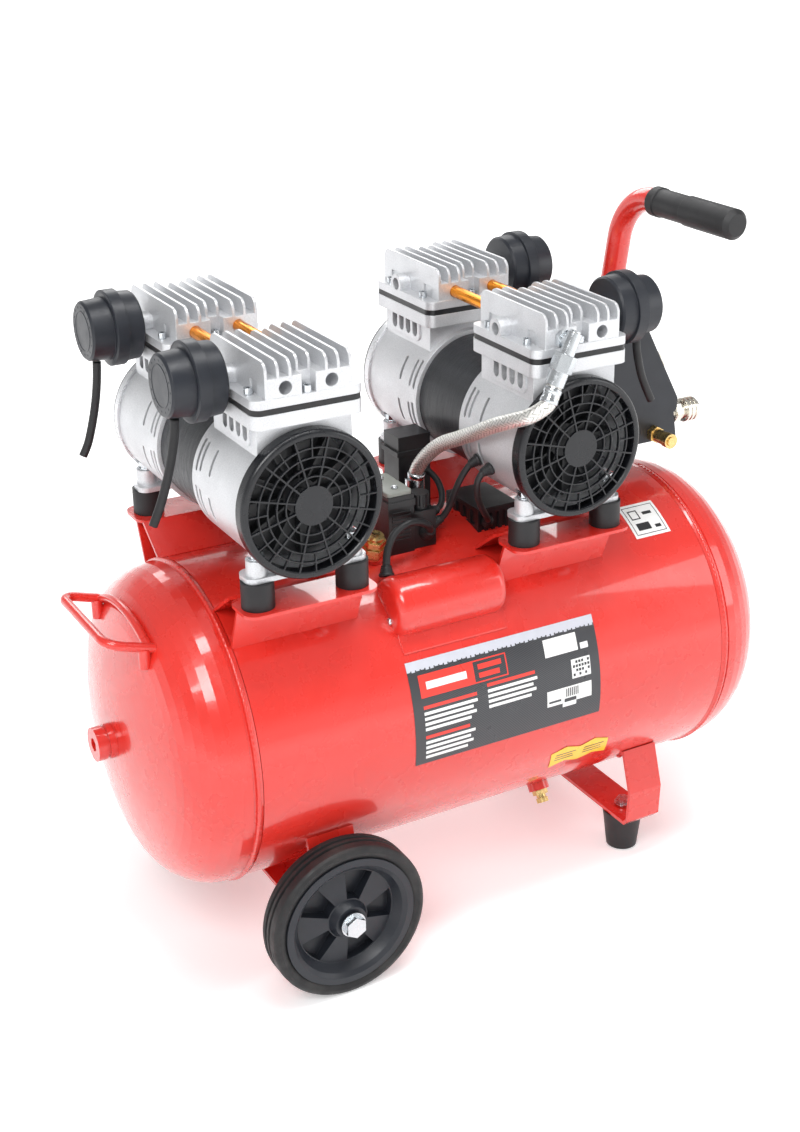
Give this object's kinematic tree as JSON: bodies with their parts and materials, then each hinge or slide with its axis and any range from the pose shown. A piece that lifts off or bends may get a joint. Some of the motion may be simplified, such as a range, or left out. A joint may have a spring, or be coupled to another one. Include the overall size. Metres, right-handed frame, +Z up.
{
  "type": "air compressor",
  "caption": "Silent oil-free workshop air compressor: horizontal wheeled tank with twin-motor finned pump units, lift loop, grip handle and outlet controls",
  "frame": {"origin": "on the floor, under the centre of the overall outline", "axes": "+Z up, +X along the tank towards the feet and the grip handle, -Y towards the side with the capacitor cover and the labels"},
  "size_m": [0.7096, 0.3752, 0.6917],
  "materials": {
    "red_paint": "gloss enamel",
    "brass": "satin machined",
    "zinc": "zinc plated",
    "tyre": "matt moulded rubber",
    "slate_plastic": "fine grain moulding",
    "rubber": "matt rubber",
    "black_steel": "satin black",
    "cast_alloy": "shot-blasted casting",
    "bare_steel": "machined",
    "black_plastic": "satin moulding",
    "piston_alloy": "machined",
    "gold_tube": "gold anodised",
    "nickel": "nickel plated",
    "braid": "woven steel braid"
  },
  "bodies": {
    "frame": {"tank_shell": "red_paint", "tank_head_left": "red_paint", "tank_head_right": "red_paint", "port_bosses": "red_paint", "end_plug": "red_paint", "drain_valve": "brass", "lift_loop": "red_paint", "wheel_bracket": "red_paint", "foot_bracket": "red_paint", "axle_bolts": "zinc", "rubber_feet": "rubber", "saddle_plates": "red_paint", "rubber_mounts": "rubber", "zinc_bolts": "zinc", "stator_left": "black_steel", "stator_right": "black_steel", "housings_left": "cast_alloy", "housings_right": "cast_alloy", "fan_covers_left": "black_steel", "fan_covers_right": "black_steel", "cylinder_sleeves": "cast_alloy", "valve_plates": "black_plastic", "head_left_front": "cast_alloy", "head_left_rear": "cast_alloy", "head_right_front": "cast_alloy", "head_right_rear": "cast_alloy", "head_screws": "zinc", "link_tubes": "gold_tube", "filters_left": "slate_plastic", "filters_right": "slate_plastic", "drip_left_front": "rubber", "drip_left_rear": "rubber", "drip_right_front": "rubber", "handle_tube": "red_paint", "handle_grip": "rubber", "control_panel": "slate_plastic", "pressure_gauge": "nickel", "safety_valve": "brass", "coupler_body": "nickel", "pressure_switch": "black_plastic", "check_valves": "brass", "air_hose": "braid", "hose_fittings": "zinc", "control_boxes": "black_plastic", "cables": "rubber", "capacitor_cover": "red_paint"},
    "wheel_front": {"tyre_front": "tyre", "rim_front": "slate_plastic"},
    "wheel_rear": {"tyre_rear": "tyre", "rim_rear": "slate_plastic"},
    "rotor_left": {"rotor_left": "bare_steel"},
    "rotor_right": {"rotor_right": "bare_steel"},
    "piston_left_front": {"piston_left_front": "piston_alloy"},
    "piston_left_rear": {"piston_left_rear": "piston_alloy"},
    "piston_right_front": {"piston_right_front": "piston_alloy"},
    "piston_right_rear": {"piston_right_rear": "piston_alloy"},
    "drain_knob": {"drain_knob": "brass"},
    "switch_knob": {"switch_knob": "black_plastic"},
    "regulator_knob": {"regulator_knob": "black_plastic"},
    "coupler_sleeve": {"coupler_sleeve": "nickel"}
  },
  "joints": [
    {"name": "wheel_front_spin", "type": "hinge", "parent": "frame", "child": "wheel_front", "pos_m": [-0.17437, -0.1616, 0.0795], "axis": [0, 1, 0], "continuous": true},
    {"name": "wheel_rear_spin", "type": "hinge", "parent": "frame", "child": "wheel_rear", "pos_m": [-0.17437, 0.1616, 0.0795], "axis": [0, 1, 0], "continuous": true},
    {"name": "rotor_left_spin", "type": "hinge", "parent": "frame", "child": "rotor_left", "pos_m": [-0.18637, 0, 0.4956], "axis": [0, 1, 0], "continuous": true},
    {"name": "piston_left_front_stroke", "type": "slide", "parent": "frame", "child": "piston_left_front", "axis": [0, 0, 1], "range_m": [-0.008, 0.008]},
    {"name": "piston_left_rear_stroke", "type": "slide", "parent": "frame", "child": "piston_left_rear", "axis": [0, 0, 1], "range_m": [-0.008, 0.008]},
    {"name": "rotor_right_spin", "type": "hinge", "parent": "frame", "child": "rotor_right", "pos_m": [0.08963, 0, 0.4956], "axis": [0, 1, 0], "continuous": true},
    {"name": "piston_right_front_stroke", "type": "slide", "parent": "frame", "child": "piston_right_front", "axis": [0, 0, 1], "range_m": [-0.008, 0.008]},
    {"name": "piston_right_rear_stroke", "type": "slide", "parent": "frame", "child": "piston_right_rear", "axis": [0, 0, 1], "range_m": [-0.008, 0.008]},
    {"name": "drain_turn", "type": "hinge", "parent": "frame", "child": "drain_knob", "pos_m": [0.09063, -0.10065, 0.08577], "axis": [0, -0.5592, -0.829], "range_deg": [0, 180]},
    {"name": "switch_turn", "type": "hinge", "parent": "frame", "child": "switch_knob", "pos_m": [-0.02037, -0.04, 0.4219], "axis": [0, 0, 1], "range_deg": [0, 90]},
    {"name": "regulator_turn", "type": "hinge", "parent": "frame", "child": "regulator_knob", "pos_m": [0.27663, 0.012, 0.475], "axis": [0, 1, 0], "range_deg": [0, 270]},
    {"name": "coupler_release", "type": "slide", "parent": "frame", "child": "coupler_sleeve", "axis": [1, 0, 0], "range_m": [-0.0045, 0]}
  ]
}
